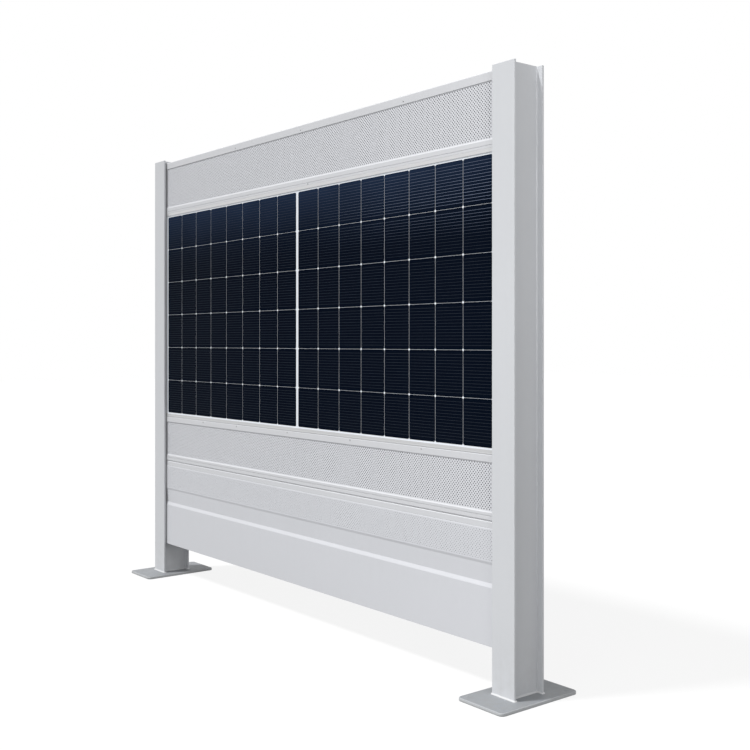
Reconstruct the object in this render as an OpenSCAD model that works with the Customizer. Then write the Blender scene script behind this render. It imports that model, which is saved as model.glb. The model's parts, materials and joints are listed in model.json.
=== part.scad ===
// One bay of a noise barrier with a solar module. Two flanged box posts on base plates hold a stack of
// a lower ribbed panel, a middle absorber panel, a solar module and an upper absorber panel.
// X runs along the bay, Y from its front to its back and Z up. The bay stands on Z = 0.

/* [Bay] */
// Distance between the centres of the two posts
post_pitch = 2700; // [1600:10:4000]
// Open gap between the ground and the lowest panel
ground_gap = 176; // [60:1:400]
// Height by which the posts stand above the panels
post_proud = 14; // [0:1:60]
// Gap between a panel's end and the core of a post
end_gap = 6; // [3:0.5:10]

/* [Posts] */
// Width of a flange, along the bay
flange_w = 114; // [90:1:200]
// Depth of the section, from front to back
post_d = 155; // [145:1:240]
// Thickness of a flange
flange_t = 9; // [6:0.5:14]
// Width of the box core between the flanges, along the bay
core_w = 62; // [40:1:66]
// Thickness of the two webs of the core
web_t = 6; // [4:0.5:12]
// Radius between web and flange
root_r = 5; // [3:0.5:10]
// Thickness of the cap in the top of the core
post_cap_t = 6; // [3:0.5:12]

/* [Base plates] */
// Width of a base plate, along the bay
plate_w = 230; // [180:1:400]
// Depth of a base plate, from front to back
plate_d = 400; // [280:1:600]
// Thickness of a base plate
plate_t = 12; // [8:1:30]
// Radius of a base plate's corners
plate_corner_r = 20; // [4:1:25]
// Diameter of an anchor hole
anchor_hole_d = 18; // [12:0.5:26]
// Distance of an anchor hole's centre from the plate's edges
anchor_edge = 30; // [20:0.5:36]
// Leg of the weld round a post's foot
weld_leg = 5.5; // [3:0.5:7.5]

/* [Seals] */
// Thickness of the rubber strip between a panel's end and a flange
seal_t = 6.5; // [4:0.5:16]
// Width of that strip
seal_w = 14; // [8:0.5:16]
// Distance of the strip from the flange's edge
seal_setback = 3; // [1:0.5:6]
// Depth of the notch along the strip's free side
seal_notch = 3; // [1:0.5:6]

/* [Panels] */
// Depth by which a rail stands in front of the perforated sheet
rail_lip = 3; // [2:0.5:14]
// Thickness of the other rail walls
rail_wall = 3; // [1.5:0.5:5]
// Thickness of the sheets
sheet_t = 2; // [1:0.25:3]
// Thickness of the end caps
cap_t = 3; // [1.5:0.5:6]
// Chamfer along the back arrises of the rails
arris = 2.25; // [0.5:0.25:3]
// Chamfer along the front arris of a top rail
rail_nose = 4; // [0.5:0.25:5]
// Height of the sloping top of a bottom rail
bevel_h = 5; // [4:0.5:14]
// Height of the groove over the step of a bottom rail
groove_h = 2.5; // [1:0.25:4]
// Depth of that groove
groove_d = 1.25; // [0.5:0.25:3]

/* [Upper panel] */
// Height of the upper panel
upper_h = 284; // [200:1:600]
// Height of its top rail
upper_top_rail_h = 36; // [25:1:60]
// Height of its bottom rail
upper_bottom_rail_h = 34; // [32:1:60]
// Height of the step along the bottom rail's foot
upper_step_h = 9; // [6:0.5:20]
// Chamfer along the front of the bottom rail's foot
upper_foot_chamfer = 0.5; // [0.25:0.25:5]

/* [Middle panel] */
// Height of the middle panel
middle_h = 248; // [180:1:600]
// Height of its top rail
middle_top_rail_h = 30; // [25:1:60]
// Height of its bottom rail
middle_bottom_rail_h = 36; // [32:1:60]
// Height of the step along the bottom rail's foot
middle_step_h = 18; // [6:0.5:20]
// Chamfer along the front of the bottom rail's foot
middle_foot_chamfer = 4; // [0.25:0.25:5]

/* [Lower panel] */
// Height of the lower panel
lower_h = 464; // [380:1:800]
// Height of its top rail
lower_top_rail_h = 26; // [20:1:40]
// Depth by which the top rail stands behind the bands
lower_rail_set = 1; // [0.5:0.5:4]
// Height of the slope between the top rail and the upper band
upper_slope_h = 4; // [4:0.5:12]
// Height of the perforated upper band
upper_band_h = 121; // [80:1:160]
// Height of the slope under the upper band
under_slope_h = 10; // [4:0.5:16]
// Depth of the recessed band at its top
recess_top_d = 2.5; // [2:0.5:20]
// Depth of the recessed band at its foot
recess_foot_d = 5; // [3:0.5:20]
// Height of the recessed band
recess_h = 69; // [40:1:90]
// Height of the slope over the plain lower band
lower_slope_h = 16; // [8:0.5:30]
// Height of the bottom rail
lower_bottom_rail_h = 25; // [15:1:40]

/* [Solar module] */
// Height of the module over its frame
module_h = 1134; // [900:1:1400]
// Depth of the frame, from front to back
module_d = 40; // [30:1:60]
// Width of the frame's front lip
frame_lip_w = 15.5; // [6:0.5:20]
// Thickness of the frame's front lip
frame_lip_t = 2.5; // [1.5:0.25:4]
// Thickness of the frame's outer wall
frame_wall = 3; // [1.5:0.25:5]
// Width of the frame's back flange
frame_back_w = 28; // [20:1:40]
// Width of the ledge behind the laminate
frame_ledge_w = 12; // [8:0.5:18]
// Thickness of the laminate of glass, cells and back sheet
laminate_t = 5; // [3:0.25:8]
// Width of a junction box, along the bay
box_w = 58; // [40:1:90]
// Height of a junction box
box_h = 96; // [60:1:140]
// Depth of a junction box
box_d = 18; // [10:1:26]
// Radius of a junction box's corners
box_r = 9; // [3:0.5:18]

/* [Hidden] */
$fn = 48;
// Overrun of a cut past the face that it starts from
overrun = 1;

// Levels of the stack, from the ground up
lower_z = ground_gap;
middle_z = lower_z + lower_h;
module_z = middle_z + middle_h;
upper_z = module_z + module_h;
stack_top_z = upper_z + upper_h;
post_h = stack_top_z + post_proud - plate_t;

// Post section
clear_d = post_d - flange_t - flange_t;
inner_flange_w = (flange_w - core_w) / 2 - root_r;

// Base plates
anchor_pitch_x = plate_w - 2 * anchor_edge;
anchor_pitch_y = plate_d - 2 * anchor_edge;

// Panels, which fill the posts' depth between the seals
panel_t = clear_d - 2 * seal_t;
panel_l = post_pitch - core_w - 2 * end_gap;
body_l = panel_l - 2 * cap_t;
front_y = -panel_t / 2;
back_y = panel_t / 2;
sheet_y = front_y + rail_lip;
back_sheet_y = back_y - rail_wall - sheet_t;
core_front_y = sheet_y + sheet_t;
core_d = back_sheet_y - core_front_y;

// Lower panel's front profile, from its top down
lower_rail_y = front_y + lower_rail_set;
recess_top_y = front_y + recess_top_d;
recess_foot_y = front_y + recess_foot_d;
recess_y = max(recess_top_y, recess_foot_y);
band_top_z = lower_h - lower_top_rail_h - upper_slope_h;
band_foot_z = band_top_z - upper_band_h;
recess_top_z = band_foot_z - under_slope_h;
recess_foot_z = recess_top_z - recess_h;
plain_top_z = recess_foot_z - lower_slope_h;

// Module
laminate_y = front_y + frame_lip_t;
ledge_y = laminate_y + laminate_t;
frame_back_y = front_y + module_d;
box_place_shares = [1 / 6, 1 / 2, 5 / 6];

paint = [0.83, 0.84, 0.85];
panel_paint = [0.80, 0.81, 0.82];
anodised = [0.86, 0.87, 0.87];
wool = [0.16, 0.16, 0.17];
rubber = [0.30, 0.30, 0.31];
plastic = [0.05, 0.05, 0.05];
cell_blue = [0.04, 0.06, 0.12];

// Outline in Y and Z drawn out along X, centred on the bay
module along_bay(length) {
    rotate([90, 0, 90]) linear_extrude(length, center = true) children();
}

// Block from one corner, centred along X
module bay_slab(length, depth, height, y, z) {
    translate([-length / 2, y, z]) cube([length, depth, height]);
}

// Rectangle with round corners, centred
module round_rect(w, d, r) {
    square([w - 2 * r, d], center = true);
    square([w, d - 2 * r], center = true);
    for (sx = [-1, 1], sy = [-1, 1])
        translate([sx * (w / 2 - r), sy * (d / 2 - r)]) circle(r);
}

module base_plate(side) {
    color(paint) translate([side * post_pitch / 2, 0, 0]) difference() {
        linear_extrude(plate_t) round_rect(plate_w, plate_d, plate_corner_r);
        for (sx = [-1, 1], sy = [-1, 1])
            translate([sx * anchor_pitch_x / 2, sy * anchor_pitch_y / 2, -overrun])
                cylinder(d = anchor_hole_d, h = plate_t + 2 * overrun);
    }
}

// Fill between web and flange, with its corner at the origin
module root_fillet() {
    difference() {
        square(root_r);
        translate([root_r, root_r]) circle(root_r);
    }
}

module post_section() {
    for (end = [-1, 1])
        translate([0, end * (post_d - flange_t) / 2]) square([flange_w, flange_t], center = true);
    for (side = [-1, 1])
        translate([side * (core_w - web_t) / 2, 0]) square([web_t, post_d - flange_t], center = true);
    for (turn = [0 : 3]) {
        sx = turn == 0 || turn == 3 ? 1 : -1;
        sy = turn < 2 ? -1 : 1;
        translate([sx * core_w / 2, sy * clear_d / 2]) rotate(90 * turn) root_fillet();
    }
}

module post(side) {
    color(paint) translate([side * post_pitch / 2, 0, plate_t]) linear_extrude(post_h) post_section();
}

// Plate between the flanges and webs that closes the core's top
module post_cap(side) {
    color(paint) translate([side * post_pitch / 2, 0, plate_t + post_h - post_cap_t])
        linear_extrude(post_cap_t) square([core_w - 2 * web_t, clear_d], center = true);
}

// Fillet weld along +X from the origin, on the face that looks towards -Y
module weld_run(length) {
    rotate([90, 0, 90]) linear_extrude(length) polygon([[0, 0], [-weld_leg, 0], [0, weld_leg]]);
}

// Weld along a flange: its outer face, its two edges and the corners between them
module flange_weld() {
    translate([-flange_w / 2, -post_d / 2, 0]) weld_run(flange_w);
    translate([flange_w / 2, -post_d / 2, 0]) rotate(90) weld_run(flange_t);
    translate([-flange_w / 2, flange_t - post_d / 2, 0]) rotate(-90) weld_run(flange_t);
    for (sx = [-1, 1], y = [-post_d / 2, flange_t - post_d / 2])
        translate([sx * flange_w / 2, y, 0]) cylinder(r1 = weld_leg, r2 = 0, h = weld_leg);
    for (x = [-flange_w / 2, core_w / 2 + root_r])
        translate([x + inner_flange_w, -clear_d / 2, 0]) rotate(180) weld_run(inner_flange_w);
}

module foot_weld(side) {
    color(paint) translate([side * post_pitch / 2, 0, plate_t]) difference() {
        union() {
            flange_weld();
            rotate(180) flange_weld();
            for (turn = [0, 180])
                rotate(turn) translate([core_w / 2, root_r - clear_d / 2, 0])
                    rotate(90) weld_run(clear_d - 2 * root_r);
        }
        translate([0, 0, -overrun]) linear_extrude(weld_leg + 2 * overrun) post_section();
    }
}

// Rubber strip with a notch along its free side; side is -1 at the left post, face -1 at the front
module seal(side, face) {
    near = seal_setback;
    far = near + seal_w;
    edge_x = side * (post_pitch - flange_w) / 2;
    color(rubber) translate([edge_x, face * (panel_t + seal_t) / 2, lower_z])
        linear_extrude(stack_top_z - lower_z)
            polygon([
                [side * near, -seal_t / 2], [side * (near + seal_notch), 0], [side * near, seal_t / 2],
                [side * far, seal_t / 2], [side * far, -seal_t / 2]
            ]);
}

// Channel over the top of a panel: a deep front lip, a top wall and a thin back wall
module top_rail(z, h, lip_y, lip_t) {
    color(panel_paint) translate([0, 0, z - h]) along_bay(body_l) polygon([
        [lip_y, 0], [lip_y, h - rail_nose], [lip_y + rail_nose, h],
        [back_y - arris, h], [back_y, h - arris], [back_y, 0],
        [back_y - rail_wall, 0], [back_y - rail_wall, h - rail_wall],
        [lip_y + lip_t, h - rail_wall], [lip_y + lip_t, 0]
    ]);
}

// Channel under an absorber panel: the front lip has a sloping top and a groove over its step
module bottom_rail(z, h, step_h, foot_chamfer) {
    groove_top = step_h + groove_h;
    color(panel_paint) translate([0, 0, z]) along_bay(body_l) polygon([
        [front_y + foot_chamfer, 0], [front_y, foot_chamfer], [front_y, step_h],
        [front_y + groove_d, step_h], [front_y + groove_d, groove_top],
        [front_y, groove_top], [front_y, h - bevel_h], [sheet_y, h],
        [sheet_y, rail_wall], [back_y - rail_wall, rail_wall], [back_y - rail_wall, h],
        [back_y, h], [back_y, arris], [back_y - arris, 0]
    ]);
}

module front_sheet(z, h) {
    color(panel_paint) bay_slab(body_l, sheet_t, h - 2 * rail_wall, sheet_y, z + rail_wall);
}

module back_sheet(z, h, foot) {
    color(panel_paint) bay_slab(body_l, sheet_t, h - foot - rail_wall, back_sheet_y, z + foot);
}

module core(z, h, y, depth) {
    color(wool) bay_slab(body_l, depth, h - 2 * rail_wall, y, z + rail_wall);
}

module end_cap(side, z, h) {
    x = side < 0 ? -panel_l / 2 : panel_l / 2 - cap_t;
    color(panel_paint) translate([x, front_y, z]) cube([cap_t, panel_t, h]);
}

// Folded sheet with an upper band, a recessed band and a plain lower band
module lower_front_sheet() {
    profile = [
        [lower_rail_y, lower_h - lower_top_rail_h], [front_y, band_top_z], [front_y, band_foot_z],
        [recess_top_y, recess_top_z], [recess_foot_y, recess_foot_z],
        [front_y, plain_top_z], [front_y, 0]
    ];
    last = len(profile) - 1;
    inner = [for (i = [last : -1 : 0]) profile[i] + [sheet_t, 0]];
    color(panel_paint) translate([0, 0, lower_z]) along_bay(body_l) polygon(concat(profile, inner));
}

// Channel inside the lower panel's foot, between its front and back sheets
module lower_bottom_rail() {
    y0 = front_y + sheet_t;
    y1 = back_sheet_y;
    color(panel_paint) translate([0, 0, lower_z]) along_bay(body_l) polygon([
        [y0, 0], [y0, lower_bottom_rail_h], [y0 + rail_wall, lower_bottom_rail_h],
        [y0 + rail_wall, rail_wall], [y1 - rail_wall, rail_wall],
        [y1 - rail_wall, lower_bottom_rail_h], [y1, lower_bottom_rail_h], [y1, 0]
    ]);
}

// Section of the module's frame: X inwards from the outer edge, Y from front to back
module frame_section() {
    polygon([
        [0, front_y], [frame_lip_w, front_y], [frame_lip_w, laminate_y], [frame_wall, laminate_y],
        [frame_wall, ledge_y], [frame_ledge_w, ledge_y], [frame_ledge_w, ledge_y + frame_lip_t],
        [frame_wall, ledge_y + frame_lip_t], [frame_wall, frame_back_y - frame_lip_t],
        [frame_back_w, frame_back_y - frame_lip_t], [frame_back_w, frame_back_y], [0, frame_back_y]
    ]);
}

// Frame member along the upright edge at X = 0, mitred at both ends
module frame_member(length) {
    intersection() {
        linear_extrude(length) frame_section();
        translate([0, frame_back_y + overrun, 0]) rotate([90, 0, 0])
            linear_extrude(module_d + 2 * overrun)
                polygon([
                    [0, 0], [frame_back_w, frame_back_w],
                    [frame_back_w, length - frame_back_w], [0, length]
                ]);
    }
}

module module_side_frame(side) {
    color(anodised) translate([side * panel_l / 2, 0, module_z])
        mirror([side > 0 ? 1 : 0, 0, 0]) frame_member(module_h);
}

// Cross member with its outer edge at height z; turn is 1 at the top and -1 at the foot
module module_cross_frame(z, turn) {
    color(anodised) translate([-turn * panel_l / 2, 0, z]) rotate([0, turn * 90, 0]) frame_member(panel_l);
}

module module_laminate() {
    color(cell_blue) bay_slab(panel_l - 2 * frame_wall, laminate_t, module_h - 2 * frame_wall,
        laminate_y, module_z + frame_wall);
}

module junction_box(place) {
    z = module_z + module_h * box_place_shares[place];
    color(plastic) translate([0, ledge_y + box_d, z]) rotate([90, 0, 0])
        linear_extrude(box_d) round_rect(box_w, box_h, box_r);
}

base_plate(-1);  // left_base_plate
base_plate(1);  // right_base_plate
post(-1);  // left_post
post(1);  // right_post
post_cap(-1);  // left_post_cap
post_cap(1);  // right_post_cap
foot_weld(-1);  // left_foot_weld
foot_weld(1);  // right_foot_weld
seal(-1, -1);  // left_front_seal
seal(-1, 1);  // left_back_seal
seal(1, -1);  // right_front_seal
seal(1, 1);  // right_back_seal
lower_front_sheet();
back_sheet(lower_z, lower_h, 0);  // lower_back_sheet
core(lower_z, lower_h, recess_y + sheet_t, back_sheet_y - rail_wall - recess_y - sheet_t);  // lower_core
top_rail(middle_z, lower_top_rail_h, lower_rail_y, recess_y + sheet_t - lower_rail_y);  // lower_top_rail
lower_bottom_rail();
end_cap(-1, lower_z, lower_h);  // lower_left_cap
end_cap(1, lower_z, lower_h);  // lower_right_cap
front_sheet(middle_z, middle_h);  // middle_front_sheet
back_sheet(middle_z, middle_h, rail_wall);  // middle_back_sheet
core(middle_z, middle_h, core_front_y, core_d);  // middle_core
top_rail(module_z, middle_top_rail_h, front_y, rail_lip);  // middle_top_rail
bottom_rail(middle_z, middle_bottom_rail_h, middle_step_h, middle_foot_chamfer);  // middle_bottom_rail
end_cap(-1, middle_z, middle_h);  // middle_left_cap
end_cap(1, middle_z, middle_h);  // middle_right_cap
front_sheet(upper_z, upper_h);  // upper_front_sheet
back_sheet(upper_z, upper_h, rail_wall);  // upper_back_sheet
core(upper_z, upper_h, core_front_y, core_d);  // upper_core
top_rail(stack_top_z, upper_top_rail_h, front_y, rail_lip);  // upper_top_rail
bottom_rail(upper_z, upper_bottom_rail_h, upper_step_h, upper_foot_chamfer);  // upper_bottom_rail
end_cap(-1, upper_z, upper_h);  // upper_left_cap
end_cap(1, upper_z, upper_h);  // upper_right_cap
module_cross_frame(upper_z, 1);  // module_top_frame
module_cross_frame(module_z, -1);  // module_bottom_frame
module_side_frame(-1);  // module_left_frame
module_side_frame(1);  // module_right_frame
module_laminate();
junction_box(2);  // junction_box_top
junction_box(1);  // junction_box_middle
junction_box(0);  // junction_box_bottom
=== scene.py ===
import json
import math
import random

import bpy
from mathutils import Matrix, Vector
from mathutils.geometry import tessellate_polygon


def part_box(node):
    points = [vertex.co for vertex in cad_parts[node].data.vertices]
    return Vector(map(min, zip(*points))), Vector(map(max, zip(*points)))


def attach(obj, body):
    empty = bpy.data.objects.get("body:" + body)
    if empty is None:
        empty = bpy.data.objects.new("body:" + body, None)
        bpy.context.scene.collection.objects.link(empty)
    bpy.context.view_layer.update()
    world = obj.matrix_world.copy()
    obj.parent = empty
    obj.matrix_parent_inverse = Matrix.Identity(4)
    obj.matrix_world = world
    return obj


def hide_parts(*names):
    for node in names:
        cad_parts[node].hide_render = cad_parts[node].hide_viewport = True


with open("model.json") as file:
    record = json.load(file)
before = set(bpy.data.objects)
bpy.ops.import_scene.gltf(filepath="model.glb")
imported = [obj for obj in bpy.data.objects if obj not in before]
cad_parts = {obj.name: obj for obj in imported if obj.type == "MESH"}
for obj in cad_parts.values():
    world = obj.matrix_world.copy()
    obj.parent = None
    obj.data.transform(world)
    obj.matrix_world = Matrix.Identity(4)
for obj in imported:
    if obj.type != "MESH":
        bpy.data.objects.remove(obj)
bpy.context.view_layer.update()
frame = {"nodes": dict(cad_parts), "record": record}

nodes = frame["nodes"]
scene = bpy.context.scene
scene.view_settings.view_transform = "Standard"


# A shader value that can be used in Python sums
class Wire:
    def __init__(self, board, socket):
        self.board = board
        self.socket = socket

    def math(self, operation, *terms):
        return self.board.node("ShaderNodeMath", {"operation": operation}, dict(enumerate(terms)))

    def __add__(self, other):
        return self.math("ADD", self, other)

    def __radd__(self, other):
        return self.math("ADD", other, self)

    def __sub__(self, other):
        return self.math("SUBTRACT", self, other)

    def __rsub__(self, other):
        return self.math("SUBTRACT", other, self)

    def __mul__(self, other):
        return self.math("MULTIPLY", self, other)

    def __rmul__(self, other):
        return self.math("MULTIPLY", other, self)

    def __truediv__(self, other):
        return self.math("DIVIDE", self, other)

    def __rtruediv__(self, other):
        return self.math("DIVIDE", other, self)

    def swing(self, depth):                     # a noise's rise and fall about its middle, 0.5
        return (self - 0.5) * depth


# A node tree, filled by one method
class Board:
    def __init__(self, tree):
        self.tree = tree
        tree.nodes.clear()

    def node(self, kind, settings=None, sockets=None, output=0):
        made = self.tree.nodes.new(kind)
        for key, value in (settings or {}).items():
            setattr(made, key, value)
        for key, value in (sockets or {}).items():
            if isinstance(value, Wire):
                self.tree.links.new(value.socket, made.inputs[key])
            else:
                made.inputs[key].default_value = value
        return Wire(self, made.outputs[output]) if made.outputs else made

    def spot(self, stretch=(1, 1, 1)):          # place on the object in metres, stretched
        place = self.node("ShaderNodeTexCoord", output="Object")
        return self.node("ShaderNodeVectorMath", {"operation": "MULTIPLY"}, {0: place, 1: stretch})

    def axis(self, letter):
        return self.node("ShaderNodeSeparateXYZ", sockets={0: self.spot()}, output=letter)

    def noise(self, grain, detail=3.0, stretch=(1, 1, 1)):      # grain in metres
        sockets = {"Vector": self.spot(stretch), "Scale": 1 / grain, "Detail": detail}
        return self.node("ShaderNodeTexNoise", sockets=sockets)

    def ramp(self, value, low, high):           # 0 at low, 1 at high
        return self.node("ShaderNodeMapRange", {"clamp": True}, {0: value, 1: low, 2: high})

    def mix(self, share, first, second):
        return self.node("ShaderNodeMix", {"data_type": "RGBA"}, {0: share, 6: first, 7: second}, 2)

    def shade(self, colour, level):             # colour made lighter or darker by a value
        return self.node("ShaderNodeVectorMath", {"operation": "SCALE"}, {0: colour, "Scale": level})

    def bump(self, height, depth, under=None):  # under is a coarser bump that it lies on
        sockets = {"Height": height, "Distance": depth}
        if under:
            sockets["Normal"] = under
        return self.node("ShaderNodeBump", sockets=sockets)

    def surface(self, sockets):
        shader = self.node("ShaderNodeBsdfPrincipled", sockets=sockets)
        self.node("ShaderNodeOutputMaterial", sockets={"Surface": shader})


def newFinish(name):
    material = bpy.data.materials.new(name)
    material.use_nodes = True
    return material, Board(material.node_tree)


def opaque(rgb):
    return (*rgb, 1.0)


# Camera at the height and angle of the picture; the image is square
cameraView = {
    "place": (4.0405, -2.8074, 1.3029),
    "tilt": 90.0,             # degrees, level
    "turn": 51.54,            # degrees from looking along +Y, towards -X
    "lens": 50.37,
    "film": 36.0,
    "shiftUp": -0.0439,
}


def makeCamera(view):
    data = bpy.data.cameras.new("viewer")
    data.lens = view["lens"]
    data.sensor_width = view["film"]
    data.shift_y = view["shiftUp"]
    viewer = bpy.data.objects.new("viewer", data)
    viewer.location = view["place"]
    viewer.rotation_euler = (math.radians(view["tilt"]), 0, math.radians(view["turn"]))
    scene.collection.objects.link(viewer)
    scene.camera = viewer


makeCamera(cameraView)
print("stage: camera")

# Soft daylight from the front left, two lamps on the right and an even white surround
studio = {
    "sky": 0.48,              # light of the surround on the object
    "sun": 2.72,
    "sunAngle": 8.0,          # degrees, softness of the shadows
    "sunFrom": (-0.42, -0.91, 1.48),
    "lamps": {
        "frontLamp": {"watts": 16.0, "size": 1.2, "place": (2.2, -3.2, 1.5), "aim": (1.0, 0.0, 1.2)},
        "sideLamp": {"watts": 35.0, "size": 1.2, "place": (4.4, -1.2, 2.8), "aim": (1.4, 0.0, 2.1)},
    },
    "floorSize": 60.0,
    "floorColour": (0.17, 0.17, 0.17),     # what the object gets back from the floor
    "floorSeen": (0.95, 0.95, 0.95),       # what a view of the floor shows
    "floorWhite": 0.84,                    # share of plain white in that view
}


def seenShare(board):         # 1 where a view, a reflection or a sight through glass looks
    def path(name):
        return board.node("ShaderNodeLightPath", output=name)
    total = path("Is Camera Ray") + path("Is Glossy Ray") + path("Is Transmission Ray")
    return board.ramp(total, 0.0, 1.0)


def makeStudio(values):
    world = bpy.data.worlds.new("surround")
    world.use_nodes = True
    scene.world = world
    board = Board(world.node_tree)
    white = (1, 1, 1, 1)
    light = board.node("ShaderNodeBackground", sockets={"Color": white, "Strength": values["sky"]})
    sight = board.node("ShaderNodeBackground", sockets={"Color": white, "Strength": 1.0})
    both = board.node("ShaderNodeMixShader", sockets={0: seenShare(board), 1: light, 2: sight})
    board.node("ShaderNodeOutputWorld", sockets={"Surface": both})

    data = bpy.data.lights.new("sun", "SUN")
    data.energy = values["sun"]
    data.angle = math.radians(values["sunAngle"])
    sun = bpy.data.objects.new("sun", data)
    sun.rotation_euler = Vector(values["sunFrom"]).to_track_quat("Z", "Y").to_euler()
    scene.collection.objects.link(sun)
    for name, setting in values["lamps"].items():
        data = bpy.data.lights.new(name, "AREA")
        data.energy = setting["watts"]
        data.size = setting["size"]
        lamp = bpy.data.objects.new(name, data)
        lamp.location = setting["place"]
        away = Vector(setting["place"]) - Vector(setting["aim"])
        lamp.rotation_euler = away.to_track_quat("Z", "Y").to_euler()
        scene.collection.objects.link(lamp)

    material, board = newFinish("floorWhite")
    dull = board.node("ShaderNodeBsdfDiffuse", sockets={"Color": opaque(values["floorColour"])})
    pale = board.node("ShaderNodeBsdfDiffuse", sockets={"Color": opaque(values["floorSeen"])})
    glow = board.node("ShaderNodeEmission", sockets={"Color": white, "Strength": 1.0})
    seen = board.node("ShaderNodeMixShader", sockets={0: values["floorWhite"], 1: pale, 2: glow})
    both = board.node("ShaderNodeMixShader", sockets={0: seenShare(board), 1: dull, 2: seen})
    board.node("ShaderNodeOutputMaterial", sockets={"Surface": both})
    half = values["floorSize"] / 2
    corners = [(-half, -half, 0), (half, -half, 0), (half, half, 0), (-half, half, 0)]
    mesh = bpy.data.meshes.new("floor")
    mesh.from_pydata(corners, [], [(0, 1, 2, 3)])
    mesh.materials.append(material)
    floor = bpy.data.objects.new("floor", mesh)
    scene.collection.objects.link(floor)


makeStudio(studio)
print("stage: light and floor")

# Powder coats: colour, roughness, and how much splashed dirt shows near the ground
coats = {
    "postCoat": {"colour": (0.640, 0.654, 0.678), "rough": 0.44, "dirt": 0.22},
    "plateCoat": {"colour": (0.268, 0.283, 0.303), "rough": 0.50, "dirt": 0.30},
    # lighter copies of the plate paint: a painted highlight on the rolled edge, painted light on the sides
    "plateRollHighlight": {"colour": (0.400, 0.416, 0.434), "rough": 0.46, "dirt": 0.20},
    "plateSideLight": {"colour": (0.560, 0.576, 0.594), "rough": 0.46, "dirt": 0.20},
    "weldCoat": {"colour": (0.610, 0.617, 0.628), "rough": 0.40, "dirt": 0.10},
    "railCoat": {"colour": (0.655, 0.664, 0.688), "rough": 0.42, "dirt": 0.10},
    "sheetCoat": {"colour": (0.662, 0.673, 0.706), "rough": 0.46, "dirt": 0.10},
    "perforatedCoat": {"colour": (0.702, 0.713, 0.747), "rough": 0.46, "dirt": 0.10},
    "backCoat": {"colour": (0.600, 0.606, 0.618), "rough": 0.48, "dirt": 0.16},
}
coatTexture = {
    "clouds": 0.55, "cloudDepth": 0.050,        # metres across, and share of brightness
    "mottle": 0.028, "mottleDepth": 0.030,
    "streak": 0.030, "streakLength": 24, "streakDepth": 0.030,
    "grain": 0.0022, "grainDepth": 0.00006,
    "wave": 0.30, "waveDepth": 0.0012,
    "dirtTop": 0.32, "dirtColour": (0.300, 0.285, 0.260),
    "dirtGrain": 0.6, "dirtFrom": 0.45, "dirtFull": 0.85,
    "roughMottle": 0.16, "roughGrain": 0.08, "roughDirt": 0.5,
    "specular": 0.4,
}


def powderCoat(name, coat, texture=coatTexture):
    material, board = newFinish(name)
    clouds = board.noise(texture["clouds"])
    mottle = board.noise(texture["mottle"], detail=4.0)
    streaks = board.noise(texture["streak"], stretch=(1, 1, 1 / texture["streakLength"]))
    grain = board.noise(texture["grain"], detail=2.0)
    wave = board.noise(texture["wave"], detail=1.0)
    level = 1 + clouds.swing(texture["cloudDepth"]) + mottle.swing(texture["mottleDepth"])
    level = level + streaks.swing(texture["streakDepth"])
    paint = board.shade(coat["colour"], level)
    lowness = 1 - board.ramp(board.axis("Z"), 0.0, texture["dirtTop"])
    patches = mottle * texture["dirtGrain"] + streaks * texture["dirtGrain"]
    splash = lowness * board.ramp(patches, texture["dirtFrom"], texture["dirtFull"]) * coat["dirt"]
    rough = coat["rough"] + mottle.swing(texture["roughMottle"]) + grain.swing(texture["roughGrain"])
    dents = board.bump(wave, texture["waveDepth"])
    board.surface({
        "Base Color": board.mix(splash, paint, opaque(texture["dirtColour"])),
        "Roughness": rough + splash * texture["roughDirt"],
        "Normal": board.bump(grain, texture["grainDepth"], under=dents),
        "Specular IOR Level": texture["specular"],
    })
    return material


woolLook = {
    "colour": (0.030, 0.030, 0.032), "level": 0.5, "rough": 0.95, "specular": 0.1, "relief": 0.0012,
    "fibre": 0.0016, "fibreStretch": (1, 1, 0.35), "fibreDepth": 0.7,
    "tuft": 0.012, "tuftDepth": 0.5,
}


def woolFinish(look=woolLook):
    material, board = newFinish("absorberFleece")
    fibres = board.noise(look["fibre"], detail=5.0, stretch=look["fibreStretch"])
    tufts = board.noise(look["tuft"])
    level = look["level"] + fibres * look["fibreDepth"] + tufts * look["tuftDepth"]
    board.surface({
        "Base Color": board.shade(look["colour"], level), "Roughness": look["rough"],
        "Normal": board.bump(fibres + tufts, look["relief"]), "Specular IOR Level": look["specular"],
    })
    return material


rubberLook = {
    "colour": (0.300, 0.304, 0.312), "rough": 0.62, "pore": 0.0011, "relief": 0.0002,
    "bloom": 0.05, "bloomStretch": (1, 1, 0.2), "bloomFrom": 0.45, "bloomFull": 0.75,
    "bloomDepth": 0.5, "bloomColour": (0.400, 0.400, 0.396), "roughBloom": 0.3,
}


def rubberFinish(look=rubberLook):
    material, board = newFinish("sealRubber")
    pores = board.noise(look["pore"], detail=4.0)
    bloom = board.noise(look["bloom"], detail=4.0, stretch=look["bloomStretch"])
    share = board.ramp(bloom, look["bloomFrom"], look["bloomFull"]) * look["bloomDepth"]
    board.surface({
        "Base Color": board.mix(share, opaque(look["colour"]), opaque(look["bloomColour"])),
        "Roughness": look["rough"] + bloom.swing(look["roughBloom"]),
        "Normal": board.bump(pores, look["relief"]),
    })
    return material


anodisedLook = {
    "colour": (0.640, 0.646, 0.656), "level": 0.96, "metallic": 0.35, "rough": 0.34,
    "drawn": 0.0009, "drawnStretch": (0.02, 1, 1),              # lines along the bay
    "drawnDepth": 0.05, "roughDrawn": 0.16, "relief": 0.00005,
    "cloud": 0.09, "cloudDepth": 0.04, "roughCloud": 0.1,
    "lipShadeFoot": (0.001, 0.008), "lipShadeTop": (0.020, 0.016),    # metres above the frame's foot, the band of painted shade on the bottom lip
    "lipShadeLeast": 0.20, "lipShadeCloud": 0.2, "lipShadeColour": (0.400, 0.400, 0.402), "roughLipShade": 0.3,
}


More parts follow.
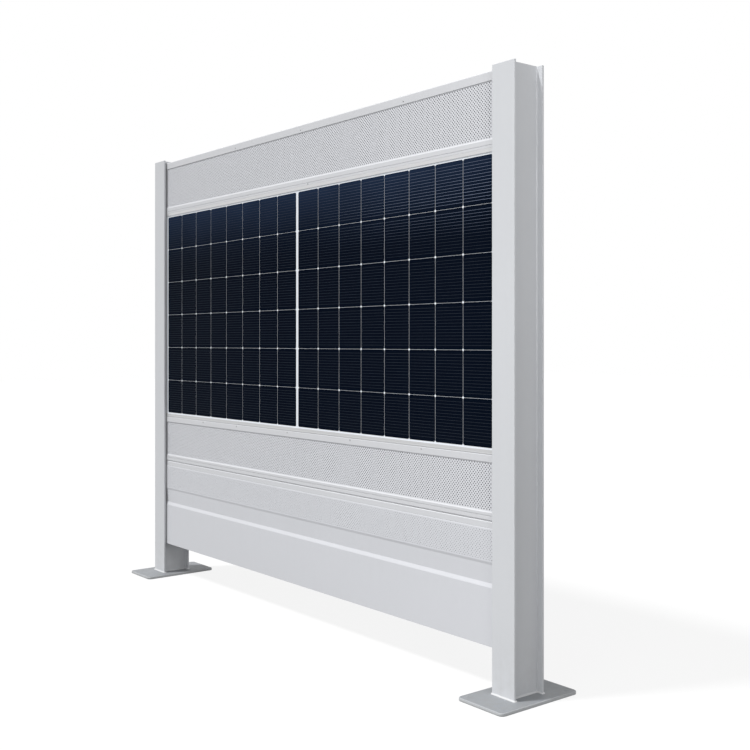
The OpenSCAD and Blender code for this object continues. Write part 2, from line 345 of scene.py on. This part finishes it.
def anodisedFinish(look=anodisedLook):
    material, board = newFinish("anodisedFrame")
    drawn = board.noise(look["drawn"], stretch=look["drawnStretch"])
    cloud = board.noise(look["cloud"])
    level = look["level"] + drawn * look["drawnDepth"] + cloud * look["cloudDepth"]
    metal = board.shade(look["colour"], level)
    rise = board.axis("Z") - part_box("module_bottom_frame")[0].z
    # painted shade: the bottom frame's lip is darkened in a band just above its foot
    band = board.ramp(rise, *look["lipShadeFoot"]) * board.ramp(rise, *look["lipShadeTop"])
    lipShade = band * (look["lipShadeLeast"] + cloud * look["lipShadeCloud"])
    rough = look["rough"] + drawn.swing(look["roughDrawn"]) + cloud.swing(look["roughCloud"])
    board.surface({
        "Base Color": board.mix(lipShade, metal, opaque(look["lipShadeColour"])),
        "Roughness": rough + lipShade * look["roughLipShade"],
        "Metallic": look["metallic"], "Normal": board.bump(drawn, look["relief"]),
    })
    return material


cellLook = {
    "navy": (0.0013, 0.0035, 0.0096), "reflectedBlue": (0.0150, 0.0270, 0.0580), "haze": (0.0130, 0.0170, 0.0220),
    "reflectionFrom": 1.67, "reflectionTo": 2.00,           # metres up, where the painted reflection of the blue sky comes in
    "lean": (0.5, 1.3), "leanDepth": 0.06,      # metres along the bay, where the painted reflection comes in higher
    "cloud": 0.16, "cloudDepth": 0.08,
    "crystal": 0.004, "crystalDepth": 0.3, "level": 0.85, "rough": 0.30, "roughCrystal": 0.1,
    "sideSheen": (-0.2, -1.3), "sideDepth": 0.2, "footHaze": (1.02, 0.91), "footDepth": 0.1,
    "fingers": 0.0014, "fingerShare": 0.08, "fingerDepth": 0.5, "fingerColour": (0.020, 0.030, 0.050),
    "specular": 0.0, "coat": 0.02, "coatRough": 0.04, "coatIor": 1.35,
}


def cellFinish(look=cellLook):
    material, board = newFinish("solarCell")
    x, z = board.axis("X"), board.axis("Z")
    cloud = board.noise(look["cloud"])
    crystal = board.noise(look["crystal"])
    height = z - board.ramp(x, *look["lean"]) * look["leanDepth"] + cloud.swing(look["cloudDepth"])
    # painted reflection: the cells turn bluer towards the top, like a mirrored sky
    skyReflection = board.ramp(height, look["reflectionFrom"], look["reflectionTo"])
    # painted reflection: the cells grow lighter towards the far left end; they are also lighter over the
    # foot row
    sheenAndHaze = board.ramp(x, *look["sideSheen"]) * look["sideDepth"]
    sheenAndHaze = sheenAndHaze + board.ramp(z, *look["footHaze"]) * look["footDepth"]
    base = board.mix(sheenAndHaze, opaque(look["navy"]), opaque(look["haze"]))
    base = board.mix(skyReflection * skyReflection, base, opaque(look["reflectedBlue"]))
    base = board.shade(base, look["level"] + crystal * look["crystalDepth"])
    along = x / look["fingers"]
    finger = along.math("FRACT", along)
    line = finger.math("LESS_THAN", finger, look["fingerShare"])
    board.surface({
        "Base Color": board.mix(line * look["fingerDepth"], base, opaque(look["fingerColour"])),
        "Roughness": look["rough"] + crystal.swing(look["roughCrystal"]),
        "Specular IOR Level": look["specular"],
        "Coat Weight": look["coat"], "Coat Roughness": look["coatRough"], "Coat IOR": look["coatIor"],
    })
    return material


ribbonLook = {
    "colour": (0.049, 0.059, 0.084), "level": 0.35, "rough": 0.45, "specular": 0.1,
    "solder": 0.006, "solderStretch": (0.2, 1, 1), "solderDepth": 0.5, "roughSolder": 0.2,
    "gleamDepth": 4.6, "gleamAlong": (0.1, 1.25),       # painted highlight on the ribbons; metres along the bay and up, none to full
    "gleamRise": (1.70, 1.86), "gleamFall": (2.12, 1.86),
}


def ribbonFinish(look=ribbonLook):
    material, board = newFinish("tinnedRibbon")
    solder = board.noise(look["solder"], stretch=look["solderStretch"])
    x, z = board.axis("X"), board.axis("Z")
    # painted highlight: the ribbons grow lighter near the top of the right end
    gleam = board.ramp(x, *look["gleamAlong"]) * board.ramp(z, *look["gleamRise"])
    gleam = gleam * board.ramp(z, *look["gleamFall"])
    level = look["level"] + solder * look["solderDepth"] + gleam * look["gleamDepth"]
    board.surface({
        "Base Color": board.shade(look["colour"], level),
        "Roughness": look["rough"] + solder * look["roughSolder"],
        "Specular IOR Level": look["specular"],
    })
    return material


backSheetLook = {
    "colour": (0.805, 0.840, 0.895), "level": 0.97, "rough": 0.35, "coat": 0.3,
    "cloud": 0.25, "cloudDepth": 0.05, "weave": 0.0018, "roughWeave": 0.15, "relief": 0.00004,
}


def backSheetFinish(look=backSheetLook):
    material, board = newFinish("laminateWhite")
    cloud = board.noise(look["cloud"])
    weave = board.noise(look["weave"], detail=2.0)
    board.surface({
        "Base Color": board.shade(look["colour"], look["level"] + cloud * look["cloudDepth"]),
        "Roughness": look["rough"] + weave.swing(look["roughWeave"]),
        "Normal": board.bump(weave, look["relief"]), "Coat Weight": look["coat"],
    })
    return material


junctionLooks = {
    "junctionPlastic": {"colour": (0.022, 0.022, 0.024), "rough": 0.45},
    "screwSteel": {"colour": (0.200, 0.205, 0.215), "rough": 0.30},
}
junctionTexture = {
    "level": 0.85, "cloud": 0.02, "cloudDepth": 0.3, "roughCloud": 0.2,
    "spark": 0.0008, "relief": 0.00012,
}


def junctionFinish(name, texture=junctionTexture):
    material, board = newFinish(name)
    look = junctionLooks[name]
    spark = board.noise(texture["spark"])
    cloud = board.noise(texture["cloud"])
    board.surface({
        "Base Color": board.shade(look["colour"], texture["level"] + cloud * texture["cloudDepth"]),
        "Roughness": look["rough"] + cloud.swing(texture["roughCloud"]),
        "Normal": board.bump(spark, texture["relief"]),
    })
    return material


rivetLook = {
    "colour": (0.400, 0.405, 0.415), "level": 0.7, "metallic": 0.6, "rough": 0.35,
    "dull": 0.006, "dullDepth": 0.5, "scratch": 0.0012, "roughScratch": 0.25,
}


def rivetFinish(look=rivetLook):
    material, board = newFinish("rivetMetal")
    scratch = board.noise(look["scratch"], detail=4.0)
    dull = board.noise(look["dull"])
    board.surface({
        "Base Color": board.shade(look["colour"], look["level"] + dull * look["dullDepth"]),
        "Roughness": look["rough"] + scratch * look["roughScratch"], "Metallic": look["metallic"],
    })
    return material


coat = {name: powderCoat(name, values) for name, values in coats.items()}
wool = woolFinish()
rubber = rubberFinish()
anodised = anodisedFinish()
cellBlue = cellFinish()
ribbonTin = ribbonFinish()
laminateWhite = backSheetFinish()
boxPlastic = junctionFinish("junctionPlastic")
screwSteel = junctionFinish("screwSteel")
rivetMetal = rivetFinish()
print("stage: finishes")


def addPiece(name, points, faces, finishes, stands=(), smooth=False, picks=None):
    mesh = bpy.data.meshes.new(name)
    mesh.from_pydata(points, [], faces)
    for finish in finishes:
        mesh.materials.append(finish)
    if picks:
        mesh.polygons.foreach_set("material_index", picks)
    rounded = smooth if isinstance(smooth, list) else [smooth] * len(faces)
    mesh.polygons.foreach_set("use_smooth", rounded)
    mesh.update()
    piece = bpy.data.objects.new(name, mesh)
    scene.collection.objects.link(piece)
    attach(piece, "root")
    if stands:
        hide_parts(*stands)


edgeRounding = {"joinWithin": 0.00001, "fromAngle": 35, "segments": 2}      # metres, degrees


def softenEdges(thing, width, values=edgeRounding):
    join = thing.modifiers.new("joinCorners", "WELD")
    join.merge_threshold = values["joinWithin"]
    bevel = thing.modifiers.new("softEdges", "BEVEL")
    bevel.width = width
    bevel.segments = values["segments"]
    bevel.limit_method = "ANGLE"
    bevel.angle_limit = math.radians(values["fromAngle"])
    bevel.harden_normals = True


def dress(finish, names, edge=0.0):
    for name in names:
        mesh = nodes[name].data
        mesh.materials.clear()
        mesh.materials.append(finish)
        if edge:
            softenEdges(nodes[name], edge)


# Solids that keep their shape get a finish and soft edges
sides = ("left", "right")
storeys = ("lower", "middle", "upper")
boxPlaces = ("top", "middle", "bottom")
edges = {
    "post": 0.0016, "rail": 0.0007, "closeRail": 0.0003,
    "cap": 0.0006, "frame": 0.0005, "box": 0.0020,
}

dress(coat["postCoat"], [f"{side}_post" for side in sides], edges["post"])
dress(coat["postCoat"], [f"{side}_post_cap" for side in sides])
rails = [f"{storey}_{end}_rail" for storey in storeys for end in ("top", "bottom")]
dress(coat["railCoat"], [name for name in rails if name != "upper_bottom_rail"], edges["rail"])
dress(coat["railCoat"], ["upper_bottom_rail"], edges["closeRail"])
dress(coat["railCoat"], [f"{storey}_{side}_cap" for storey in storeys for side in sides], edges["cap"])
dress(coat["backCoat"], [f"{storey}_back_sheet" for storey in storeys])
dress(wool, [f"{storey}_core" for storey in storeys])
dress(rubber, [f"{side}_{face}_seal" for side in sides for face in ("front", "back")])
dress(anodised, [f"module_{end}_frame" for end in ("top", "bottom", "left", "right")], edges["frame"])
dress(boxPlastic, [f"junction_box_{place}" for place in boxPlaces], edges["box"])
print("stage: solids dressed")

# Perforated sheets, as rows of bricks with a round hole in each
perforation = {
    "pitch": 0.0145, "rowShare": 0.5,     # row height as a share of the pitch
    "hole": 0.0060, "sides": 8,
    "reach": 1.298, "edge": 0.003,        # holes end here along the bay, and this far from the rails
}
finePerforation = {"pitch": 0.0145, "rowShare": 0.5, "hole": 0.0038, "sides": 8, "reach": 1.298}


class SheetMesh:
    def __init__(self, columns):
        self.columns = columns            # places along the bay that every line shares
        self.points = []
        self.faces = []

    def line(self, y, z):
        first = len(self.points)
        self.points.extend((x, y, z) for x in self.columns)
        return first

    def plain(self, low, high, i):
        self.faces.append((low + i, low + i + 1, high + i + 1, high + i))

    def strip(self, low, high):
        for i in range(len(self.columns) - 1):
            self.plain(low, high, i)

    def follow(self, low, path):          # strips from a line on through (y, z) places
        for y, z in path:
            high = self.line(y, z)
            self.strip(low, high)
            low = high
        return low

    # One brick: the face round its hole, and the hole's wall
    def brick(self, low, high, i, y, depth, radius, count):
        corners = [low + i, low + i + 1, low + i + 2, high + i + 2, high + i + 1, high + i]
        x = self.columns[i + 1]
        z = (self.points[low][2] + self.points[high][2]) / 2
        start = -math.pi / 2 - 2 * math.pi / count
        rim = len(self.points)
        for back in (0, depth):
            for k in range(count):
                turn = start + 2 * math.pi * k / count
                self.points.append((x + radius * math.cos(turn), y + back, z + radius * math.sin(turn)))
        ring = [rim + k for k in range(count)]
        wall = [rim + count + k for k in range(count)]
        self.web(corners, ring)
        for k in range(count):
            after = (k + 1) % count
            self.faces.append((ring[k], ring[after], wall[after], wall[k]))

    # Triangles between an outer and an inner loop that run the same way
    def web(self, outer, inner):
        m, n = len(outer), len(inner)
        i = j = 0
        while i < m or j < n:
            if j >= n or (i < m and (i + 0.5) * n <= (j + 0.5) * m):
                self.faces.append((outer[i % m], outer[(i + 1) % m], inner[j % n]))
                i += 1
            else:
                self.faces.append((outer[i % m], inner[(j + 1) % n], inner[j % n]))
                j += 1

    def holes(self, y, foot, top, depth, values):
        rows = round((top - foot) / (values["pitch"] * values["rowShare"]))
        lines = [self.line(y, foot + (top - foot) * k / rows) for k in range(rows + 1)]
        last = len(self.columns) - 2      # the outermost columns stay plain
        for k in range(rows):
            low, high = lines[k], lines[k + 1]
            i = 1 + k % 2                 # every other row starts half a pitch on
            for edge in range(i):
                self.plain(low, high, edge)
            while i + 2 <= last:
                self.brick(low, high, i, y, depth, values["hole"] / 2, values["sides"])
                i += 2
            while i <= last:
                self.plain(low, high, i)
                i += 1
        return lines[0], lines[-1]


def holeColumns(low, high, values):       # sheet ends, and half pitches between them
    count = 2 * round(2 * values["reach"] / values["pitch"])
    step = 2 * values["reach"] / count
    return [low] + [-values["reach"] + step * k for k in range(count + 1)] + [high]


def perforatedSheet(storey, values=perforation):
    low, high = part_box(f"{storey}_front_sheet")
    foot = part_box(f"{storey}_bottom_rail")[1].z + values["edge"]
    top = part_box(f"{storey}_top_rail")[0].z - values["edge"]
    sheet = SheetMesh(holeColumns(low.x, high.x, values))
    under = sheet.line(low.y, low.z)
    first, last = sheet.holes(low.y, foot, top, high.y - low.y, values)
    over = sheet.line(low.y, high.z)
    sheet.strip(under, first)
    sheet.strip(last, over)
    addPiece(f"{storey}PerforatedFace", sheet.points, sheet.faces, [coat["perforatedCoat"]],
             [f"{storey}_front_sheet"])


for storey in ("middle", "upper"):
    perforatedSheet(storey)
print("stage: perforated sheets")

# Folded face of the lower panel
lowerFace = {
    "foldRadius": 0.0025, "foldSteps": 4,
    "foldShare": 0.4,                     # most of a flat that the fold at its end may take
    "thickness": 0.002, "edge": 0.004,
}


# Front outline of a folded sheet from its foot up, as (y, z)
def foldPoints(name):
    fronts = {}
    for vertex in nodes[name].data.vertices:
        z = round(vertex.co.z, 5)
        fronts[z] = min(fronts.get(z, vertex.co.y), vertex.co.y)
    return [Vector((fronts[z], z)) for z in sorted(fronts)]


def roundFolds(points, values):
    steps, most = values["foldSteps"], values["foldShare"]
    path = [points[0]]
    for before, corner, after in zip(points, points[1:], points[2:]):
        toward, away = (before - corner).normalized(), (after - corner).normalized()
        half = toward.angle(away) / 2
        room = min((before - corner).length * most, (after - corner).length * most)
        run = min(values["foldRadius"] / math.tan(half), room)
        start, end = corner + toward * run, corner + away * run
        for k in range(steps + 1):
            t = k / steps
            path.append(start.lerp(corner, t).lerp(corner.lerp(end, t), t))
    return path + [points[-1]]


def makeLowerFace(values=lowerFace, fine=finePerforation):
    low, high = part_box("lower_front_sheet")
    folds = foldPoints("lower_front_sheet")
    path = roundFolds(folds, values)
    lowerFold, upperFold = folds[-3], folds[-2]     # the perforated band lies between them
    bandFoot = lowerFold.y + values["edge"]
    bandTop = upperFold.y - values["edge"]
    sheet = SheetMesh(holeColumns(low.x, high.x, fine))
    hem = sheet.line(path[0].x + values["thickness"], path[0].y)
    below = sheet.follow(hem, [point for point in path if point.y < bandFoot])
    first, last = sheet.holes(upperFold.x, bandFoot, bandTop, values["thickness"], fine)
    sheet.strip(below, first)
    sheet.follow(last, [point for point in path if point.y > bandTop])
    addPiece("lowerFoldedFace", sheet.points, sheet.faces, [coat["sheetCoat"]],
             ["lower_front_sheet"])


makeLowerFace()
print("stage: folded lower face")

# Solar module: white sheet, cells with clipped corners, and fine ribbons along the rows
cellGrid = {
    "columns": 8, "rows": 6, "width": 2.557, "strip": 0.017,
    "topMargin": 0.020, "footMargin": 0.019,
    "gapX": 0.0011, "gapZ": 0.0009, "corner": 0.0055,
    "ribbons": 13, "ribbonEdgeShare": 0.095, "ribbonWidth": 0.0010,
    "cover": 0.0004, "cellRise": 0.00015, "ribbonRise": 0.0001,
}


def boxFaces(first):
    loops = ((0, 1, 2, 3), (7, 6, 5, 4), (0, 4, 5, 1), (1, 5, 6, 2), (2, 6, 7, 3), (3, 7, 4, 0))
    return [tuple(first + i for i in loop) for loop in loops]


def boxPoints(low, high):
    corners = ((low[0], low[2]), (high[0], low[2]), (high[0], high[2]), (low[0], high[2]))
    return [(x, y, z) for y in (low[1], high[1]) for x, z in corners]


def cellPlaces(grid):
    low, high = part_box("module_laminate")
    foot, top = low.z + grid["footMargin"], high.z - grid["topMargin"]
    stepX = (grid["width"] - grid["strip"]) / (2 * grid["columns"])
    stepZ = (top - foot) / grid["rows"]
    places = []
    for half in (-1, 1):
        start = grid["strip"] / 2 if half > 0 else -grid["width"] / 2
        for column in range(grid["columns"]):
            for row in range(grid["rows"]):
                places.append((start + stepX * (column + 0.5), foot + stepZ * (row + 0.5)))
    return places, stepX, stepZ


def makeModule(grid=cellGrid):
    low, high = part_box("module_laminate")
    white = low.y + grid["cover"]
    points = boxPoints((low.x, white, low.z), (high.x, high.y, high.z))
    addPiece("laminateSheet", points, boxFaces(0), [laminateWhite], ["module_laminate"])

    places, stepX, stepZ = cellPlaces(grid)
    w, h, c = (stepX - grid["gapX"]) / 2, (stepZ - grid["gapZ"]) / 2, grid["corner"]
    outline = [
        (-w + c, -h), (w - c, -h), (w, -h + c), (w, h - c),
        (w - c, h), (-w + c, h), (-w, h - c), (-w, -h + c),
    ]
    count = len(outline)
    front = white - grid["cellRise"]
    points, faces = [], []
    for x, z in places:
        first = len(points)
        for y in (front, white):
            points.extend((x + a, y, z + b) for a, b in outline)
        back = first + count
        faces.append(tuple(range(first, back)))
        for k in range(count):
            after = (k + 1) % count
            faces.append((first + after, first + k, back + k, back + after))
    addPiece("solarCells", points, faces, [cellBlue])

    points, faces = [], []
    span = stepZ * (1 - 2 * grid["ribbonEdgeShare"])
    reach = grid["ribbonWidth"] / 2
    for x, z in places:
        for k in range(grid["ribbons"]):
            level = z + span * (k / (grid["ribbons"] - 1) - 0.5)
            lowCorner = (x - w, front - grid["ribbonRise"], level - reach)
            highCorner = (x + w, front, level + reach)
            faces.extend(boxFaces(len(points)))
            points.extend(boxPoints(lowCorner, highCorner))
    addPiece("cellRibbons", points, faces, [ribbonTin])


makeModule()
print("stage: solar module")


# Turned shape from (radius, rise) pairs, standing on a point along a direction
def turned(points, faces, shape, base, up):
    across = Vector((1, 0, 0))
    side = up.cross(across)
    sides = shape["sides"]
    rings = []
    for radius, rise in shape["profile"]:
        centre = base + up * rise
        if radius == 0:
            rings.append([len(points)])
            points.append(tuple(centre))
            continue
        rings.append([len(points) + k for k in range(sides)])
        for k in range(sides):
            turn = 2 * math.pi * k / sides
            points.append(tuple(centre + (across * math.cos(turn) + side * math.sin(turn)) * radius))
    for inner, outer in zip(rings, rings[1:]):
        for k in range(sides):
            after = (k + 1) % sides
            if len(inner) == 1:
                faces.append((inner[0], outer[k], outer[after]))
            else:
                faces.append((inner[k], outer[k], outer[after], inner[after]))


# Blind rivets along the rails
rivets = {
    "profile": [
        (0, 0.0004), (0.0010, 0.0004), (0.0012, 0.0016),
        (0.0026, 0.0014), (0.0036, 0.0008), (0.0040, 0.0),
    ],
    "sides": 14,
    "places": {
        "upper_top_rail": (-0.55, 0.03, 0.77),
        "upper_bottom_rail": (0.09,),
        "middle_top_rail": (-0.88, -0.54, -0.08, 0.41, 0.88),
    },
    "heightShare": {"upper_top_rail": 0.36, "upper_bottom_rail": 0.16, "middle_top_rail": 0.66},
}


def makeRivets(values=rivets):
    for name, places in values["places"].items():
        low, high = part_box(name)
        z = low.z + (high.z - low.z) * values["heightShare"][name]
        points, faces = [], []
        for x in places:
            for y, away in ((low.y, -1), (high.y, 1)):
                turned(points, faces, values, Vector((x, y, z)), Vector((0, away, 0)))
        addPiece(f"{name}_rivets", points, faces, [rivetMetal], smooth=True)


makeRivets()

# Base plates with rolled edges, their four anchor holes closed by flat plugs
basePlate = {
    "corner": 0.020, "arc": 8,
    "roll": 0.0034, "rollSteps": 4, "foot": 0.0008,
    "holeSides": 28,
}
plugs = {"profile": [(0, 0.0008), (0.006, 0.0007), (0.0095, 0.0004), (0.0103, 0.0)], "sides": 28}


def roundedLoop(w, h, radius, arc):       # anticlockwise
    loop = []
    for quarter, (sx, sy) in enumerate(((1, 1), (-1, 1), (-1, -1), (1, -1))):
        for k in range(arc + 1):
            turn = math.pi / 2 * (quarter + k / arc)
            a = sx * (w / 2 - radius) + radius * math.cos(turn)
            b = sy * (h / 2 - radius) + radius * math.sin(turn)
            loop.append((a, b))
    return loop


def joinRings(faces, rings):
    for inner, outer in zip(rings, rings[1:]):
        count = len(inner)
        for k in range(count):
            after = (k + 1) % count
            faces.append((inner[k], inner[after], outer[after], outer[k]))


def addRing(points, ring):
    first = len(points)
    points.extend(ring)
    return list(range(first, len(points)))


def holePlaces(side):                     # centres and radius of the anchor holes, from the record
    mount = next(m for m in frame["record"]["mounts"] if m["name"] == f"{side}_anchor_bolts")
    dims = mount["dims"]
    inMetre = 1000                        # millimetres
    across, along = dims["spacing_x_mm"] / inMetre / 2, dims["spacing_y_mm"] / inMetre / 2
    offsets = [Vector((sx * across, sy * along, 0)) for sx in (-1, 1) for sy in (-1, 1)]
    return [Vector(mount["pos_m"]) + offset for offset in offsets], dims["hole_r_mm"] / inMetre


def fillLoops(points, faces, loops, facing):      # flat face with holes, 1 looks up and -1 down
    flat = [index for loop in loops for index in loop]
    for triangle in tessellate_polygon([[Vector(points[index]) for index in loop] for loop in loops]):
        a, b, c = (flat[index] for index in triangle)
        start = Vector(points[a])
        turn = (Vector(points[b]) - start).cross(Vector(points[c]) - start).z
        faces.append((a, b, c) if turn * facing > 0 else (a, c, b))


def makePlate(side, values=basePlate):
    low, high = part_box(f"{side}_base_plate")
    centre = (low + high) / 2
    roll = values["roll"]
    levels = [(low.z, values["foot"]), (low.z + values["foot"], 0.0)]
    for k in range(values["rollSteps"] + 1):
        turn = math.pi / 2 * k / values["rollSteps"]
        levels.append((high.z - roll + roll * math.sin(turn), roll * (1 - math.cos(turn))))
    points, faces, rings = [], [], []
    for z, trim in levels:
        w, h = high.x - low.x - 2 * trim, high.y - low.y - 2 * trim
        loop = roundedLoop(w, h, values["corner"] - trim, values["arc"])
        rings.append(addRing(points, [(centre.x + a, centre.y + b, z) for a, b in loop]))
    joinRings(faces, rings)
    # the rolled edge and the sides take lighter copies of the plate paint, as painted highlight and
    # painted light
    plateCoats = [coat["plateCoat"], coat["plateRollHighlight"], coat["plateSideLight"]]
    onFlat, onRoll, onSide = range(len(plateCoats))
    lowFaces = 2 * len(rings[0])          # foot and side come first, then the rolled edge
    picks = [onSide] * lowFaces + [onRoll] * (len(faces) - lowFaces)
    footLoops, topLoops = [rings[0]], [rings[-1]]
    places, radius = holePlaces(side)
    turns = [2 * math.pi * k / values["holeSides"] for k in range(values["holeSides"])]
    for place in places:
        circle = [(place.x + radius * math.cos(turn), place.y + radius * math.sin(turn)) for turn in turns]
        upper = addRing(points, [(a, b, high.z) for a, b in circle])
        lower = addRing(points, [(a, b, low.z) for a, b in circle])
        joinRings(faces, [upper, lower])
        footLoops.append(lower)
        topLoops.append(upper)
    smooth = [True] * len(faces)
    fillLoops(points, faces, footLoops, -1)
    fillLoops(points, faces, topLoops, 1)
    smooth += [False] * (len(faces) - len(smooth))
    picks += [onFlat] * (len(faces) - len(picks))
    addPiece(f"{side}Plate", points, faces, plateCoats, [f"{side}_base_plate"],
             smooth=smooth, picks=picks)
    points, faces = [], []
    for place in places:
        turned(points, faces, plugs, place, Vector((0, 0, 1)))
    addPiece(f"{side}AnchorPlugs", points, faces, [coat["plateCoat"]], smooth=True)


for side in sides:
    makePlate(side)
print("stage: rivets and base plates")

# Weld beads round the posts' feet, with the ripples of each pass
weldBead = {
    "leg": 0.0053, "bulge": 0.0007, "bulgeShare": 0.7, "arc": 6,
    "ripple": 0.0042, "rippleDepth": 0.07, "step": 0.0014, "cornerSteps": 4,
    "waver": 0.05, "waverKept": 0.9, "waverNew": 0.1,       # depth, and how it drifts a step
    "coreWall": 0.006,                    # the post's core is this much wider than its cap, a side
    "seeds": {"left": 3, "right": 4},
}


def sectionOutline(side, wall):           # outline of the post's foot in plan, anticlockwise
    low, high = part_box(f"{side}_post")
    capLow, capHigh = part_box(f"{side}_post_cap")
    x0, x1, y0, y1 = low.x, high.x, low.y, high.y
    c0, c1, f0, f1 = capLow.x - wall, capHigh.x + wall, capLow.y, capHigh.y
    plan = [
        (x0, y0), (x1, y0), (x1, f0), (c1, f0), (c1, f1), (x1, f1),
        (x1, y1), (x0, y1), (x0, f1), (c0, f1), (c0, f0), (x0, f0),
    ]
    return [Vector(point) for point in plan]


def outlineSteps(corners, values):        # places along the outline with the way out of the wall
    steps = []
    count = len(corners)
    turns, reach = values["cornerSteps"], values["leg"]
    for k in range(count):
        a, b, c = corners[k - 1], corners[k], corners[(k + 1) % count]
        inward, onward = (b - a).normalized(), (c - b).normalized()
        outIn, outOn = Vector((inward.y, -inward.x)), Vector((onward.y, -onward.x))
        convex = inward.cross(onward) > 0
        if convex:
            for t in range(turns + 1):
                steps.append((b, outIn.lerp(outOn, t / turns).normalized()))
        else:
            steps.append((b, outIn + outOn))
        ends = [0.0, (c - b).length]
        nextOn = (corners[(k + 2) % count] - c).normalized()
        if not convex:
            ends[0] = reach
        if onward.cross(nextOn) < 0:
            ends[1] -= reach
        pieces = max(1, round((ends[1] - ends[0]) / values["step"]))
        for t in range(1, pieces):
            steps.append((b + onward * (ends[0] + (ends[1] - ends[0]) * t / pieces), outOn))
    return steps


def makeWeld(side, values=weldBead):
    chance = random.Random(values["seeds"][side])
    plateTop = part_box(f"{side}_base_plate")[1].z
    steps = outlineSteps(sectionOutline(side, values["coreWall"]), values)
    points, faces = [], []
    travelled, waver, last = 0.0, 0.0, steps[0][0]
    for place, out in steps:
        travelled += (place - last).length
        last = place
        waver = waver * values["waverKept"] + chance.uniform(-1, 1) * values["waverNew"]
        phase = (travelled / values["ripple"]) % 1
        share = 1 - values["rippleDepth"] * phase + values["waver"] * waver - values["waver"]
        size = values["leg"] * share
        for k in range(values["arc"] + 1):
            t = k / values["arc"]
            swell = values["bulge"] * math.sin(math.pi * t) * values["bulgeShare"]
            spot = place + out * (size * t + swell)
            points.append((spot.x, spot.y, plateTop + (size * (1 - t) + swell)))
    wide = values["arc"] + 1
    for i in range(len(steps)):
        j = (i + 1) % len(steps)
        for k in range(values["arc"]):
            faces.append((i * wide + k, i * wide + k + 1, j * wide + k + 1, j * wide + k))
    addPiece(f"{side}WeldBead", points, faces, [coat["weldCoat"]],
             [f"{side}_foot_weld"], smooth=True)


for side in sides:
    makeWeld(side)
print("stage: weld beads")

# Lids on the junction boxes, each held by four screws
boxLid = {"inset": 0.004, "rise": 0.0022, "slope": 0.0012, "radius": 0.007, "arc": 5, "screwIn": 0.009}
lidScrew = {
    "profile": [(0, 0.0004), (0.0008, 0.0004), (0.0009, 0.0010), (0.0020, 0.0008), (0.0026, 0.0)],
    "sides": 12,
}


def makeLid(place, values=boxLid):
    low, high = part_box(f"junction_box_{place}")
    centre = (low + high) / 2
    w, h = high.x - low.x - 2 * values["inset"], high.z - low.z - 2 * values["inset"]
    points, faces, rings = [], [], []
    rise, slope = values["rise"], values["slope"]
    for lift, trim in ((0, 0), (rise - slope, 0), (rise, slope)):
        loop = roundedLoop(w - 2 * trim, h - 2 * trim, values["radius"] - trim, values["arc"])
        rings.append(addRing(points, [(centre.x - a, high.y + lift, centre.z + b) for a, b in loop]))
    joinRings(faces, rings)
    faces.append(tuple(rings[-1]))
    picks = [0] * len(faces)
    across, along = w / 2 - values["screwIn"], h / 2 - values["screwIn"]
    for sx in (-1, 1):
        for sz in (-1, 1):
            spot = Vector((centre.x + sx * across, high.y + rise, centre.z + sz * along))
            turned(points, faces, lidScrew, spot, Vector((0, 1, 0)))
    picks += [1] * (len(faces) - len(picks))
    addPiece(f"junctionLid_{place}", points, faces, [boxPlastic, screwSteel], picks=picks)


for place in boxPlaces:
    makeLid(place)
print("stage: junction box lids")
